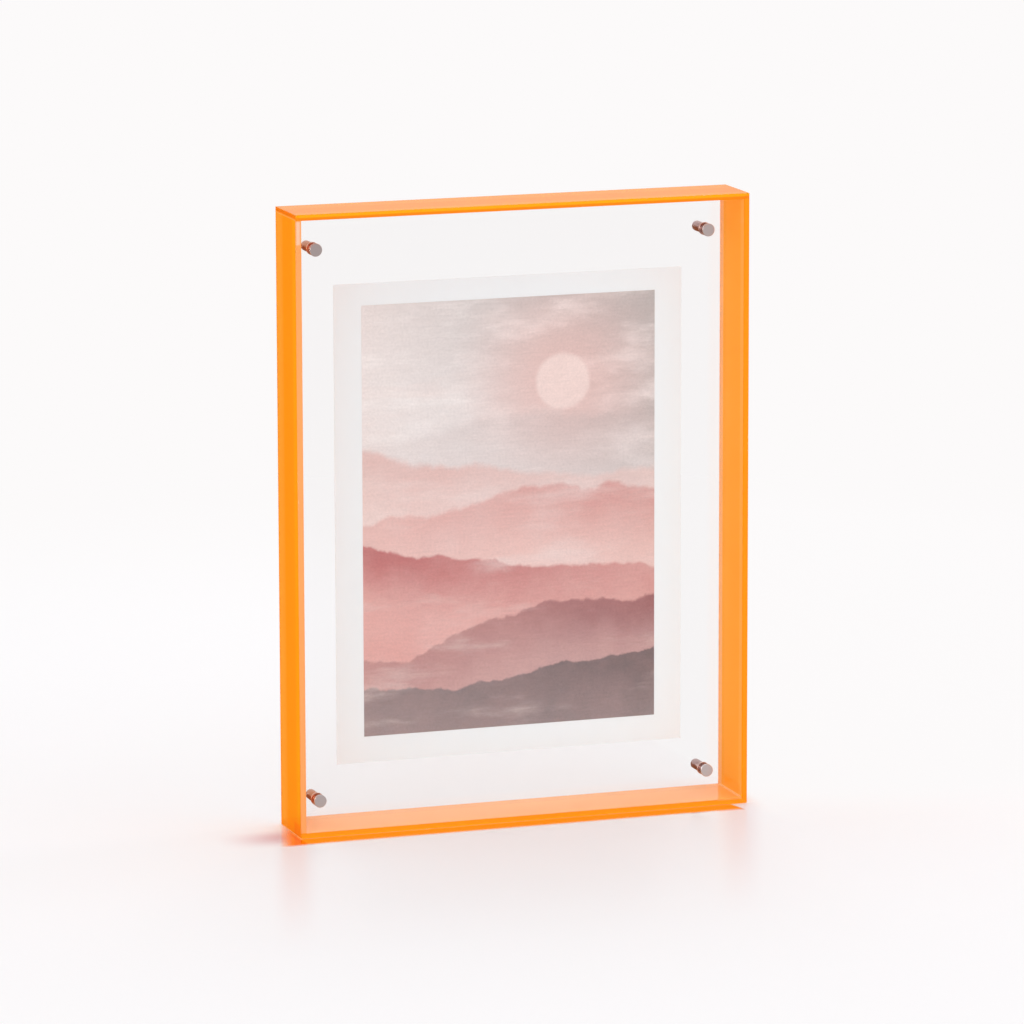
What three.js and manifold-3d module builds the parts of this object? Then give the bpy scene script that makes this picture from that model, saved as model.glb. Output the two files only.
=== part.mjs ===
// Acrylic photo frame: a deep box frame of orange acrylic plates with two clear panes inside it.
// A print on its card stands between the panes, and four turned steel standoffs hold the front pane.
// Millimetres, +Z up, the front faces -Y, and the origin is the middle of the footprint.

import * as THREE from 'three';
import { mergeVertices } from 'three/addons/utils/BufferGeometryUtils.js';
import Module from 'manifold-3d';

// Print, and the card that it is mounted on
const printWidth = 210;
const printHeight = 297;
const printThickness = 0.2;
const cardSideMargin = 19.5;
const cardTopMargin = 15;
const cardBottomMargin = 18;
const cardThickness = 0.4;

// Clear border between the card and the inner faces of the plates
const sideBorder = 32.5;
const topBorder = 49.5;
const bottomBorder = 37.5;

// Plates of the box
const plateThickness = 4;
const plateEdgeChamfer = 0.4;
const glueLine = 0.1;

// Depth, from the front edges of the plates to their back edges
const recessDepth = 32;
const frontPaneThickness = 2;
const printAirGap = 0.3;
const rearPaneThickness = 3;
const backSpace = 8.6;

// Slack round the front pane, which lifts out forwards
const frontPaneClearance = 0.5;

// Standoff places, measured in from the inner faces of the plates
const standoffSideInset = 17;
const standoffTopInset = 23.5;
const standoffBottomInset = 15.5;

// Standoff pieces
const capDiameter = 8.8;
const capDiscThickness = 1.6;
const capDiscChamfer = 0.3;
const neckDiameter = 6.4;
const neckLength = 5.8;
const capFloor = 0.8;
const capSeatGap = 0.1;
const ringDiameter = 8.8;
const ringThickness = 1;
const ringChamfer = 0.2;
const padDiameter = 8.2;
const padThickness = 0.5;
const barrelDiameter = 7;
const barrelRecess = 0.2;
const barrelChamfer = 0.4;
const studDiameter = 4;
const studChamfer = 0.4;
const studEndPlay = 0.3;
const threadEngagement = 4.2;
const runningClearance = 0.1;
const roundSides = 24;

// Corners closer than this are one corner
const cornerTolerance = 1e-5;

// Outlines, all worked out from the print
const cardWidth = printWidth + 2 * cardSideMargin;
const cardHeight = cardBottomMargin + printHeight + cardTopMargin;
const innerWidth = cardWidth + 2 * sideBorder;
const innerHeight = bottomBorder + cardHeight + topBorder;
const frameWidth = innerWidth + 2 * plateThickness;
const frameHeight = innerHeight + 2 * plateThickness;
const cardCentreHeight = plateThickness + bottomBorder + cardHeight / 2;
const printCentreHeight = plateThickness + bottomBorder + cardBottomMargin + printHeight / 2;

// Places along the depth, from the front edges at zero towards the back
const frontPaneBack = recessDepth + frontPaneThickness;
const printFront = frontPaneBack + printAirGap;
const cardFront = printFront + printThickness;
const rearPaneFront = cardFront + cardThickness;
const frameDepth = rearPaneFront + rearPaneThickness + backSpace;
const padFront = recessDepth - padThickness;
const ringFront = padFront - ringThickness;
const capBack = ringFront - capSeatGap;
const discBack = capBack - neckLength;
const capFront = discBack - capDiscThickness;
const barrelFront = recessDepth + barrelRecess;
const capBoreEnd = capFront + capFloor;
const studFront = capBoreEnd + studEndPlay;
const studBack = barrelFront + threadEngagement;

const standoffCorners = [
  { name: 'top_left', side: -1, height: frameHeight - plateThickness - standoffTopInset },
  { name: 'top_right', side: 1, height: frameHeight - plateThickness - standoffTopInset },
  { name: 'bottom_left', side: -1, height: plateThickness + standoffBottomInset },
  { name: 'bottom_right', side: 1, height: plateThickness + standoffBottomInset },
].map(({ name, side, height }) => ({
  name,
  x: side * (innerWidth / 2 - standoffSideInset),
  z: height,
}));

const wasm = await Module();
wasm.setup();

const acrylicOrange = new THREE.MeshStandardMaterial({ color: '#fb8c12', roughness: 0.06, metalness: 0 });
const acrylicClear = new THREE.MeshStandardMaterial({ color: '#eef1f1', roughness: 0.04, metalness: 0 });
const cardPaper = new THREE.MeshStandardMaterial({ color: '#ece6e5', roughness: 0.85, metalness: 0 });
const printPaper = new THREE.MeshStandardMaterial({ color: '#c9908a', roughness: 0.6, metalness: 0 });
const satinSteel = new THREE.MeshStandardMaterial({ color: '#b2a8a5', roughness: 0.32, metalness: 1 });
const darkSteel = new THREE.MeshStandardMaterial({ color: '#8f8884', roughness: 0.4, metalness: 1 });
const rubberPad = new THREE.MeshStandardMaterial({ color: '#141212', roughness: 0.6, metalness: 0 });

// Distance behind the front edges, turned into the Y of the model.
function fromFront(distance) {
  return distance - frameDepth / 2;
}

// Keeps positions only, joins equal corners and drops the triangles that a pole leaves empty.
function closedMesh(geometry) {
  const bare = geometry.clone();
  bare.deleteAttribute('normal');
  bare.deleteAttribute('uv');
  const merged = mergeVertices(bare, cornerTolerance);
  const corners = merged.index.array;
  const kept = [];
  for (let i = 0; i < corners.length; i += 3) {
    const [a, b, c] = [corners[i], corners[i + 1], corners[i + 2]];
    if (a !== b && b !== c && c !== a) {
      kept.push(a, b, c);
    }
  }
  merged.setIndex(kept);
  return merged;
}

function toSolid(geometry) {
  const merged = closedMesh(geometry);
  return new wasm.Manifold(new wasm.Mesh({
    numProp: 3,
    vertProperties: new Float32Array(merged.attributes.position.array),
    triVerts: new Uint32Array(merged.index.array),
  }));
}

function fromSolid(solid) {
  const mesh = solid.getMesh();
  const geometry = new THREE.BufferGeometry();
  geometry.setAttribute('position', new THREE.BufferAttribute(new Float32Array(mesh.vertProperties), 3));
  geometry.setIndex(new THREE.BufferAttribute(new Uint32Array(mesh.triVerts), 1));
  geometry.computeVertexNormals();
  return geometry;
}

// A bar along X with a chamfered rectangular section, seen end on as depth by thickness.
function chamferedBar(length, depth, thickness, chamfer) {
  const y = depth / 2;
  const z = thickness / 2;
  const section = new THREE.Shape();
  section.moveTo(-y + chamfer, -z);
  section.lineTo(y - chamfer, -z);
  section.lineTo(y, -z + chamfer);
  section.lineTo(y, z - chamfer);
  section.lineTo(y - chamfer, z);
  section.lineTo(-y + chamfer, z);
  section.lineTo(-y, z - chamfer);
  section.lineTo(-y, -z + chamfer);
  section.closePath();
  const bar = new THREE.ExtrudeGeometry(section, { depth: length, bevelEnabled: false });
  bar.translate(0, 0, -length / 2);
  bar.rotateX(Math.PI / 2);
  bar.rotateZ(Math.PI / 2);
  return bar;
}

// The wedge that a mitred plate stays inside: as long as the plate at its outer face, 45 degrees at each end.
function mitreWedge(length) {
  const setBack = glueLine * Math.SQRT1_2;
  const outer = length / 2 - setBack;
  const reach = plateThickness * 2;
  const trapezoid = new THREE.Shape();
  trapezoid.moveTo(-outer - plateThickness, -plateThickness);
  trapezoid.lineTo(outer + plateThickness, -plateThickness);
  trapezoid.lineTo(outer - reach, reach);
  trapezoid.lineTo(-outer + reach, reach);
  trapezoid.closePath();
  const wedge = new THREE.ExtrudeGeometry(trapezoid, { depth: frameDepth * 2, bevelEnabled: false });
  wedge.translate(0, 0, -frameDepth);
  wedge.rotateX(Math.PI / 2);
  return wedge;
}

// A mitred plate lying on its outer face, which is at Z zero.
function mitredPlate(length) {
  const bar = chamferedBar(length + plateThickness, frameDepth, plateThickness, plateEdgeChamfer);
  bar.translate(0, 0, plateThickness / 2);
  return fromSolid(toSolid(bar).intersect(toSolid(mitreWedge(length))));
}

// A turned piece with its axis along Y. The profile is [radius, distance behind the front edges].
function turned(profile) {
  const points = profile.map(([radius, distance]) => new THREE.Vector2(radius, fromFront(distance)));
  return closedMesh(new THREE.LatheGeometry(points, roundSides));
}

// A flat pane with a round hole at each standoff. Its outline is centred on the given height.
function drilledPane(width, height, centreHeight, thickness, holeRadius) {
  const outline = new THREE.Shape();
  outline.moveTo(-width / 2, centreHeight - height / 2);
  outline.lineTo(width / 2, centreHeight - height / 2);
  outline.lineTo(width / 2, centreHeight + height / 2);
  outline.lineTo(-width / 2, centreHeight + height / 2);
  outline.closePath();
  for (const corner of standoffCorners) {
    const hole = new THREE.Path();
    hole.absarc(corner.x, corner.z, holeRadius, 0, Math.PI * 2, true);
    outline.holes.push(hole);
  }
  const pane = new THREE.ExtrudeGeometry(outline, {
    depth: thickness,
    bevelEnabled: false,
    curveSegments: roundSides,
  });
  pane.translate(0, 0, -thickness);
  pane.rotateX(Math.PI / 2);
  return closedMesh(pane);
}

const frame = new THREE.Group();

function addPiece(name, geometry, material) {
  const piece = new THREE.Mesh(geometry, material);
  piece.name = name;
  frame.add(piece);
  return piece;
}

// The four orange plates of the box, mitred at the corners and glued.
function addBoxPlates() {
  const lying = mitredPlate(frameWidth);
  const standing = mitredPlate(frameHeight);
  const bottom = addPiece('side_bottom', lying, acrylicOrange);
  bottom.position.set(0, 0, 0);
  const top = addPiece('side_top', lying.clone(), acrylicOrange);
  top.rotation.y = Math.PI;
  top.position.set(0, 0, frameHeight);
  const left = addPiece('side_left', standing, acrylicOrange);
  left.rotation.y = Math.PI / 2;
  left.position.set(-frameWidth / 2, 0, frameHeight / 2);
  const right = addPiece('side_right', standing.clone(), acrylicOrange);
  right.rotation.y = -Math.PI / 2;
  right.position.set(frameWidth / 2, 0, frameHeight / 2);
}

// The rear pane is glued between the plates, and the front pane lifts out forwards.
function addPanes() {
  const paneHole = barrelDiameter / 2 + runningClearance;
  const rear = drilledPane(
    innerWidth - 2 * glueLine,
    innerHeight - 2 * glueLine,
    frameHeight / 2,
    rearPaneThickness,
    barrelDiameter / 2 + glueLine,
  );
  addPiece('rear_pane', rear, acrylicClear).position.y = fromFront(rearPaneFront);
  const front = drilledPane(
    innerWidth - 2 * frontPaneClearance,
    innerHeight - 2 * frontPaneClearance,
    frameHeight / 2,
    frontPaneThickness,
    paneHole,
  );
  addPiece('front_pane', front, acrylicClear).position.y = fromFront(recessDepth);
}

// The print on its card, which stands against the rear pane.
function addPrint() {
  const card = new THREE.BoxGeometry(cardWidth, cardThickness, cardHeight);
  const cardPiece = addPiece('mount_card', closedMesh(card), cardPaper);
  cardPiece.position.set(0, fromFront(cardFront + cardThickness / 2), cardCentreHeight);
  const print = new THREE.BoxGeometry(printWidth, printThickness, printHeight);
  const printPiece = addPiece('photo_print', closedMesh(print), printPaper);
  printPiece.position.set(0, fromFront(printFront + printThickness / 2), printCentreHeight);
}

// The barrel stands in the rear pane, carries the front pane and reaches the back of the frame.
function barrelShape() {
  const outer = barrelDiameter / 2;
  const bore = studDiameter / 2 + runningClearance;
  return turned([
    [bore, barrelFront],
    [outer, barrelFront],
    [outer, frameDepth - barrelChamfer],
    [outer - barrelChamfer, frameDepth],
    [bore, frameDepth],
    [bore, barrelFront],
  ]);
}

// The steel ring that spreads the cap's pressure, as wide as the cap.
function ringShape() {
  const outer = ringDiameter / 2;
  const bore = studDiameter / 2 + runningClearance;
  return turned([
    [bore, ringFront],
    [outer - ringChamfer, ringFront],
    [outer, ringFront + ringChamfer],
    [outer, padFront],
    [bore, padFront],
    [bore, ringFront],
  ]);
}

// The rubber pad between the ring and the front pane.
function padShape() {
  const outer = padDiameter / 2;
  const bore = studDiameter / 2 + runningClearance;
  return turned([
    [bore, padFront],
    [outer, padFront],
    [outer, recessDepth],
    [bore, recessDepth],
    [bore, padFront],
  ]);
}

// The cap is one turned piece: a flat disc on a thinner neck, bored from behind for the stud.
function capShape() {
  const disc = capDiameter / 2;
  const neck = neckDiameter / 2;
  const bore = studDiameter / 2 + runningClearance;
  return turned([
    [0, capFront],
    [disc - capDiscChamfer, capFront],
    [disc, capFront + capDiscChamfer],
    [disc, discBack],
    [neck, discBack],
    [neck, capBack],
    [bore, capBack],
    [bore, capBoreEnd],
    [0, capBoreEnd],
  ]);
}

// The threaded stud joins the cap to the barrel. Its thread is left plain.
function studShape() {
  const outer = studDiameter / 2;
  return turned([
    [0, studFront],
    [outer, studFront],
    [outer, studBack - studChamfer],
    [outer - studChamfer, studBack],
    [0, studBack],
  ]);
}

function addStandoff(corner) {
  const pieces = [
    ['barrel', barrelShape(), satinSteel],
    ['ring', ringShape(), satinSteel],
    ['pad', padShape(), rubberPad],
    ['stud', studShape(), darkSteel],
    ['cap', capShape(), satinSteel],
  ];
  for (const [kind, geometry, material] of pieces) {
    addPiece(`${kind}_${corner.name}`, geometry, material).position.set(corner.x, 0, corner.z);
  }
}

addBoxPlates();
addPanes();
addPrint();
standoffCorners.forEach(addStandoff);

export default frame;
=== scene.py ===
"""Looks of an acrylic photo frame: orange acrylic box, clear panes, a print on card and steel standoffs.

Everything is in metres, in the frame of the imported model: +Z up, and the front faces -Y.
"""

import bmesh
import bpy
import numpy as np
from bpy.props import FloatProperty, FloatVectorProperty, IntProperty, PointerProperty
from mathutils import Matrix, Vector
from mathutils.geometry import tessellate_polygon


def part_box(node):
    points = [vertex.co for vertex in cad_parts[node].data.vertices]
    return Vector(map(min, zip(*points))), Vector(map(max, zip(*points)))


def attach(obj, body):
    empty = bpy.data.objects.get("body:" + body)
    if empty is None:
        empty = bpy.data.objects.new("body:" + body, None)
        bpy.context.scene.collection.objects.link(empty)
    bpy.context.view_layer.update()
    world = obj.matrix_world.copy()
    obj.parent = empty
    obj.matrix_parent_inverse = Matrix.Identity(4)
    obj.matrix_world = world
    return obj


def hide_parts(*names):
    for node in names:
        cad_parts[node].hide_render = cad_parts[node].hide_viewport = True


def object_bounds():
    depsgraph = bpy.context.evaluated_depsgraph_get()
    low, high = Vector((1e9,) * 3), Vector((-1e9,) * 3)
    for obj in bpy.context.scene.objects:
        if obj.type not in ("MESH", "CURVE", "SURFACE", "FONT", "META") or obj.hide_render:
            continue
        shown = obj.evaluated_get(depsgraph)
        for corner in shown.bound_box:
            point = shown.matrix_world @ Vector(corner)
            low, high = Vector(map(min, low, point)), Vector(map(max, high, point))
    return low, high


bl_info = {
    "name": "Acrylic Photo Frame",
    "version": (1, 0, 0),
    "blender": (4, 5, 0),
    "location": "3D View > Sidebar > Photo Frame",
    "description": "Dresses a photo frame of orange acrylic with clear panes, a print and steel standoffs",
    "category": "Object",
}

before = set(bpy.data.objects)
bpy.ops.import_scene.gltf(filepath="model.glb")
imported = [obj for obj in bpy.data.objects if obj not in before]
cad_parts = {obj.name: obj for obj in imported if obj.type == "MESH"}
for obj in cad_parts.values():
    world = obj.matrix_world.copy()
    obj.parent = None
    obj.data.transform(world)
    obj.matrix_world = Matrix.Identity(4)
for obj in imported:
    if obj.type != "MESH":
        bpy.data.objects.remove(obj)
cad_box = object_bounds()

MM = 0.001
CORNERS = ("top_left", "top_right", "bottom_left", "bottom_right")

# The outside of the box, the thickness of its plates, and where their inner faces lie.
HALF_WIDTH = cad_box[1].x
HALF_DEPTH = cad_box[1].y
HEIGHT = cad_box[1].z
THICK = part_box("side_bottom")[1].z
INNER = HALF_WIDTH - THICK
CEILING = HEIGHT - THICK

# How far the image of a place runs across for each step towards the camera, at the two front corners.
LEFT_LEAN = 0.298
RIGHT_LEAN = 0.378

# Standoffs: radius of the bore for the stud, thickness of the cap's disc, radius of its neck, and how much
# steel is left in front of its bore.
BORE = 2.1 * MM
CAP_DISC = 1.6 * MM
CAP_NECK = 3.2 * MM
CAP_FLOOR = 0.8 * MM


# Colours and nodes


def linear(hex_colour):
    """Turns an sRGB hex colour into the linear colour that a node holds."""
    channels = [int(hex_colour[i:i + 2], 16) / 255 for i in (1, 3, 5)]
    return tuple(c / 12.92 if c <= 0.04045 else ((c + 0.055) / 1.055) ** 2.4 for c in channels) + (1.0,)


def add(tree, kind, *inputs, settings=None, output=None, **named):
    """Adds one shader node with its settings and links, and gives one of its outputs as a Field.

    An input is a value or a Field to link. Those without a name go to the sockets that the node shows,
    in order; _ in a name stands for a space. Without a name for the output, it gives the first.
    """
    node = tree.nodes.new("ShaderNode" + kind)
    for name, value in (settings or {}).items():
        setattr(node, name, value)
    shown = [socket for socket in node.inputs if socket.enabled]
    pairs = list(zip(shown, inputs))
    pairs += [(node.inputs[name.replace("_", " ")], value) for name, value in named.items()]
    for socket, value in pairs:
        if isinstance(value, Field):
            tree.links.new(value.socket, socket)
        else:
            socket.default_value = value
    results = [socket for socket in node.outputs if socket.enabled]
    if not results:
        return None
    return Field(node.outputs[output] if output else results[0])


def arithmetic(operation, turned=False):
    """A sign between numbers, for Field: it adds one Math node. turned swaps the two numbers."""

    def sign(*values):
        in_order = values[::-1] if turned else values
        return add(values[0].tree, "Math", *in_order, settings={"operation": operation})

    return sign


class Field:
    """One output of a node: a number, place, colour or shader. Signs between numbers add nodes."""

    def __init__(self, socket):
        self.socket = socket
        self.tree = socket.id_data

    __add__ = __radd__ = arithmetic("ADD")
    __mul__ = __rmul__ = arithmetic("MULTIPLY")
    __sub__ = arithmetic("SUBTRACT")
    __rsub__ = arithmetic("SUBTRACT", turned=True)
    __truediv__ = arithmetic("DIVIDE")
    __pow__ = arithmetic("POWER")
    __abs__ = arithmetic("ABSOLUTE")
    at_least = arithmetic("MAXIMUM")
    sine = arithmetic("SINE")

    def other(self, name):
        """Another output of the same node."""
        return Field(self.socket.node.outputs[name])

    def rise(self, low, high):
        """Goes smoothly from 0 where this is low to 1 where it is high."""
        return add(self.tree, "MapRange", self, low, high, settings={"interpolation_type": "SMOOTHSTEP"})

    def within(self, limits, soft):
        """Is 1 where this lies between the limits and 0 outside, with soft borders."""
        low, high = limits
        return self.rise(low - soft / 2, low + soft / 2) * self.rise(high + soft / 2, high - soft / 2)


# Settings of a Mix node that lays a second colour over a first, or multiplies the first by the second.
LAY = {"data_type": "RGBA"}
MULTIPLY = {"data_type": "RGBA", "blend_type": "MULTIPLY"}


def object_axes(tree):
    """Object coordinates in metres: whole, and split into across, depth and up."""
    whole = add(tree, "TexCoord", output="Object")
    across = add(tree, "SeparateXYZ", whole)
    return whole, across, across.other("Y"), across.other("Z")


def new_material(name):
    """An empty node material and its tree."""
    material = bpy.data.materials.new(name)
    material.use_nodes = True
    material.node_tree.nodes.clear()
    return material, material.node_tree


# Settings that a user would change


def length_setting(name, description, default, least):
    """A length in metres."""
    return FloatProperty(name=name, description=description, default=default, min=least, unit="LENGTH")


def count_setting(name, description, default, least):
    """A whole number."""
    return IntProperty(name=name, description=description, default=default, min=least)


def colour_setting(name, description, default):
    """A colour, given as sRGB hex and held as linear."""
    return FloatVectorProperty(
        name=name, description=description, subtype="COLOR", size=4, default=linear(default)
    )


class PhotoFramePlateSettings(bpy.types.PropertyGroup):
    edge_radius: length_setting(
        "Edge radius", "Radius of the polished edges of the orange plates", 0.45 * MM, 0.05 * MM
    )
    edge_steps: count_setting("Edge steps", "Facets round each polished edge", 6, 2)
    colour: colour_setting(
        "Acrylic colour", "Colour of white light after one pass through a plate", "#FF9C02"
    )
    # Painted glow: near the front edges the acrylic is painted yellower, for light given off there.
    front_glow_colour: colour_setting(
        "Colour near the front", "Acrylic colour in the first centimetre behind the front edges", "#FFAC02"
    )
    # Painted light: behind the panes the acrylic is painted paler, for light from behind.
    back_light_colour: colour_setting("Colour at the back", "Acrylic colour behind the clear panes", "#FFA62A")
    # Painted glow: the cut edges are painted yellower, for the light that leaves them.
    edge_glow_colour: colour_setting(
        "Colour of the cut edges", "Acrylic colour on the front edges, where light leaves them", "#FFA902"
    )


class PhotoFramePaneSettings(bpy.types.PropertyGroup):
    edge_radius: length_setting(
        "Edge easing", "Flame polished easing on the edges and holes of the clear panes", 0.2 * MM, 0.02 * MM
    )
    corner_radius: length_setting(
        "Corner radius", "Radius of the four corners of each pane, seen from the front", 0.8 * MM, 0.05 * MM
    )
    hole_steps: count_setting("Hole steps", "Steps round each standoff hole", 64, 12)
    tint: colour_setting("Pane tint", "Colour of white light after one surface of a pane", "#FEFEFE")


class PhotoFrameStandoffSettings(bpy.types.PropertyGroup):
    round_steps: count_setting("Round steps", "Steps round each turned piece", 96, 16)
    thread_pitch: length_setting("Thread pitch", "Pitch of the thread on each stud", 0.7 * MM, 0.2 * MM)
    thread_depth: length_setting("Thread depth", "Depth of the thread on each stud", 0.4 * MM, 0.1 * MM)
    steel_colour: colour_setting("Steel colour", "Colour of the satin stainless steel", "#CFC8C6")


class PhotoFramePrintSettings(bpy.types.PropertyGroup):
    sky_colour: colour_setting("Print sky", "Colour at the top of the printed design", "#BDB5B3")
    card_colour: colour_setting("Card", "Colour of the mounting card", "#F6FCFE")


class PhotoFrameStageSettings(bpy.types.PropertyGroup):
    lens: FloatProperty(
        name="Focal length",
        description="Focal length of the camera on a 36 mm sensor",
        default=222.70,
        min=1.0,
        unit="CAMERA",
    )
    floor_radius: length_setting("Floor radius", "Half the width of the floor", 3.0, 0.5)
    backdrop_colour: colour_setting("Backdrop", "Colour of the floor and backdrop", "#FCFAFA")


SETTINGS = (
    ("photo_frame_plates", PhotoFramePlateSettings),
    ("photo_frame_panes", PhotoFramePaneSettings),
    ("photo_frame_standoffs", PhotoFrameStandoffSettings),
    ("photo_frame_print", PhotoFramePrintSettings),
    ("photo_frame_stage", PhotoFrameStageSettings),
)


# Materials


# Painted reflections, highlights and shade: where the polished corners mirror the inside of the sheet, or
# light falls on an edge, the acrylic is painted deeper or paler than elsewhere. One zone is a pale line along
# the bottom inner corner.
# A zone is a range across or to each side (x), behind the front plane (y) and up (z), with the width of its
# soft border. A wedge is a range across that narrows towards the back as a mirror image does.
INNER_FACE = dict(side=(INNER - 1 * MM, INNER + 0.3 * MM), up=(THICK, CEILING))
OUTER_FACE = HALF_WIDTH - 0.5 * MM
CUT_EDGE = (-1 * MM, 0.5 * MM)

ACRYLIC_ZONES = (
    # Painted light: the inner faces of the side plates are painted paler.
    dict(INNER_FACE, what="inner faces of the side plates", colour="#FFBC5A", cover=0.9, soft=0.3 * MM,
         behind=(0.5 * MM, 48 * MM)),
    # Painted light: paler still at the back, seen through the panes.
    dict(INNER_FACE, what="inner faces at the back, paler through the panes", colour="#FCD8BC", cover=0.9,
         soft=1 * MM, behind=(39.5 * MM, 48 * MM)),
    # Painted highlight on the inner faces close to the front edge.
    dict(INNER_FACE, what="inner faces close to the front edge", colour="#FFC676", cover=0.8, soft=1 * MM,
         behind=(0.5 * MM, 6 * MM)),
    # Painted reflection of the pale room in the bottom plate.
    dict(what="inside of the bottom plate, which mirrors the pale room", colour="#FCD6B4", cover=0.85,
         soft=0.3 * MM, side=(-1 * MM, INNER), up=(THICK - 0.3 * MM, THICK + 0.5 * MM)),
    # Painted reflection of the bottom plate in the inner faces.
    dict(what="inner faces near the bottom, which mirror the bottom plate", colour="#FFA010", cover=0.5,
         soft=5 * MM, side=(INNER - 3.5 * MM, INNER + 2.8 * MM), up=(THICK + 2 * MM, THICK + 9 * MM),
         behind=(3 * MM, 34 * MM)),
    # Painted reflection of the right plate in the bottom plate.
    dict(what="wedge of the bottom plate that mirrors the right plate", colour="#FFC07A", cover=0.9,
         soft=1 * MM, across=(0.0, INNER), up=(THICK - 0.8 * MM, THICK + 1 * MM),
         wedge=(INNER - RIGHT_LEAN * 2 * HALF_DEPTH, HALF_WIDTH)),
    # A pale line along the bottom inner corner.
    dict(what="pale line along the bottom inner corner", colour="#FFE2C0", cover=1.0, soft=0.2 * MM,
         side=(INNER - 0.9 * MM, INNER + 0.7 * MM), up=(THICK - 0.8 * MM, THICK + 1.0 * MM),
         behind=(1.5 * MM, 44 * MM)),
    # Painted light: the left edge is painted paler, as it is seen against the pale inside of the box.
    dict(what="left edge, seen against the pale inside of the box", colour="#FFC48C", cover=0.9,
         soft=0.3 * MM, across=(-HALF_WIDTH - 1 * MM, -INNER), behind=CUT_EDGE, up=(THICK, CEILING)),
    # Painted reflection: the top edge of each outer side face is painted deeper, where the mitre mirrors the
    # sheet.
    dict(what="top edge of each outer side face, where the mitre mirrors the sheet", colour="#F08000",
         cover=0.9, soft=0.25 * MM, side=(OUTER_FACE, HALF_WIDTH + 1 * MM),
         up=(HEIGHT - 2.6 * MM, HEIGHT - 0.4 * MM)),
    # Painted highlight: a pale line under that edge.
    dict(what="pale line under that edge", colour="#FFC060", cover=0.8, soft=0.25 * MM,
         side=(OUTER_FACE, HALF_WIDTH + 1 * MM), up=(HEIGHT - 3.8 * MM, HEIGHT - 2.8 * MM)),
    # Painted shade: the lower front corner of each outer side face is painted deeper.
    dict(what="lower front corner of each outer side face", colour="#FF7200", cover=0.85, soft=3 * MM,
         side=(OUTER_FACE, HALF_WIDTH + 4 * MM), up=(-9 * MM, 9 * MM), behind=(1 * MM, 15 * MM)),
    # Painted highlight along the round bottom rim of each outer side face.
    dict(what="bottom rim of each outer side face, polished round", colour="#FFDCA8", cover=0.9,
         soft=0.3 * MM, side=(HALF_WIDTH - 0.8 * MM, HALF_WIDTH + 1 * MM), up=(-1 * MM, 0.7 * MM)),
    # Painted highlight on the upper half of the top front edge.
    dict(what="upper half of the top front edge", colour="#FFC604", cover=0.9, soft=0.5 * MM,
         up=(HEIGHT - 2.0 * MM, HEIGHT + 1 * MM), behind=CUT_EDGE),
    # Painted shade on the lower half of the top front edge.
    dict(what="lower half of the top front edge", colour="#F88E00", cover=0.9, soft=0.5 * MM,
         up=(HEIGHT - 3.8 * MM, HEIGHT - 2.0 * MM), behind=CUT_EDGE),
    # Painted highlight where the softbox shines in the top end of the left edge.
    dict(what="top end of the left edge, where the softbox shines in it", colour="#FFF4E6", cover=0.9,
         soft=1.5 * MM, across=(-HALF_WIDTH + 0.4 * MM, -HALF_WIDTH + 3 * MM), behind=(-2 * MM, 1 * MM),
         up=(HEIGHT - 20 * MM, HEIGHT - 4.5 * MM)),
)


def orange_acrylic(settings):
    """Fluorescent orange cast acrylic, polished: half clear to look through, with a painted glow and painted
    light and shade in its colour.
    """
    material, tree = new_material("Fluorescent_orange_cast_acrylic")
    whole, across, depth, up = object_axes(tree)
    behind = depth + HALF_DEPTH
    # Painted glow: fluorescent sheet gathers light and gives it off at its cut edges, so it is painted
    # yellower near them.
    # Painted light: behind the panes it is painted paler, for light from behind.
    near_front = 1.0 - behind.rise(6 * MM, 11 * MM)
    near_back = behind.rise(28 * MM, 34 * MM)
    cut_edge = 1.0 - behind.rise(0.2 * MM, 0.7 * MM)
    colour = add(tree, "Mix", near_front, settings.colour, settings.front_glow_colour, settings=LAY)
    colour = add(tree, "Mix", near_back, colour, settings.back_light_colour, settings=LAY)
    colour = add(tree, "Mix", cut_edge, colour, settings.edge_glow_colour, settings=LAY)
    places = {
        "across": across,
        "side": abs(across),
        "wedge": across - behind * RIGHT_LEAN,
        "behind": behind,
        "up": up,
    }
    # Each zone lays its painted reflection, highlight, shade or pale corner line over the colour.
    for zone in ACRYLIC_ZONES:
        cover = zone["cover"]
        for name, place in places.items():
            if name in zone:
                cover = place.within(zone[name], zone["soft"]) * cover
        named = dict(LAY, label=zone["what"])
        colour = add(tree, "Mix", cover, colour, linear(zone["colour"]), settings=named)
    # Cast sheet is never quite even: the dye varies by a few percent over tens of millimetres.
    dye = add(tree, "TexNoise", Vector=whole, Scale=1 / (60 * MM), Detail=2.0)
    colour = add(tree, "Mix", dye * 0.2, colour, linear("#F98A00"), settings=LAY)
    # Painted glow: an emission stands in for the orange light that the dye gives off,
    # and most of it is painted where the round low rim gathers it.
    low_rim = 1.0 - up.rise(0.1 * MM, 0.6 * MM)
    glow = add(tree, "Mix", cut_edge, linear("#A06400"), linear("#8F6400"), settings=LAY)
    glow = add(tree, "Mix", low_rim * near_front, glow, linear("#F0A848"), settings=LAY)
    # Haze from the polishing wheel, drawn coarser than it is so that it shows.
    wiped = add(tree, "Mapping", Vector=whole, Scale=(1.0, 6.0, 1.0))
    haze = add(tree, "TexNoise", Vector=wiped, Scale=1 / (2.5 * MM), Detail=2.0)
    shader = add(
        tree,
        "BsdfPrincipled",
        Base_Color=colour,
        Roughness=add(tree, "MapRange", haze, 0.3, 0.7, 0.015, 0.05),
        IOR=1.49,
        Transmission_Weight=0.5,
        Specular_IOR_Level=0.0,
        Emission_Color=glow,
        Emission_Strength=0.3,
    )
    add(tree, "OutputMaterial", Surface=shader)
    return material


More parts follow.
